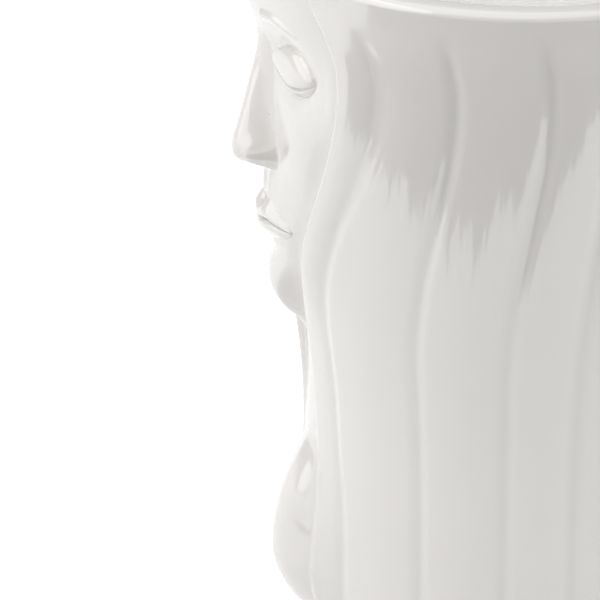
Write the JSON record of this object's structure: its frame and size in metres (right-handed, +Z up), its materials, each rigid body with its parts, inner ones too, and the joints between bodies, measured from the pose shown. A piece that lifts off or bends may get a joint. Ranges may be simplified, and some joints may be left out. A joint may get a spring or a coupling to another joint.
{
  "type": "face vase",
  "caption": "Bust-shaped flower vase in glossy white ceramic: a flared open cup with a calm face at the front and long wavy locks of hair falling to a rounded base.",
  "frame": {"origin": "centre of the foot ring's underside, on the axis of the round mouth", "axes": "+Z up along the axis of the mouth, -Y towards the face, +X towards the figure's left side"},
  "size_m": [0.1976, 0.2031, 0.27],
  "materials": {
    "white_glaze": "glossy clear white glaze",
    "inside_glaze": "glossy white glaze",
    "bare_foot": "unglazed, wiped clay"
  },
  "bodies": {
    "root": {"inner_vessel": "inside_glaze", "foot_ring": "bare_foot", "mouth_rim": "white_glaze", "face_mask": "white_glaze", "nose": "white_glaze", "upper_lip": "white_glaze", "lower_lip": "white_glaze", "left_upper_eyelid": "white_glaze", "left_lower_eyelid": "white_glaze", "right_upper_eyelid": "white_glaze", "right_lower_eyelid": "white_glaze", "left_brow": "white_glaze", "right_brow": "white_glaze", "neck": "white_glaze", "chest": "white_glaze", "left_front_lock": "white_glaze", "left_cheek_lock": "white_glaze", "left_temple_lock": "white_glaze", "left_ear_lock": "white_glaze", "left_side_lock": "white_glaze", "left_rear_lock": "white_glaze", "left_crown_lock": "white_glaze", "left_nape_lock": "white_glaze", "right_front_lock": "white_glaze", "right_cheek_lock": "white_glaze", "right_temple_lock": "white_glaze", "right_ear_lock": "white_glaze", "right_side_lock": "white_glaze", "right_rear_lock": "white_glaze", "right_crown_lock": "white_glaze", "right_nape_lock": "white_glaze", "back_lock": "white_glaze"}
  },
  "joints": []
}
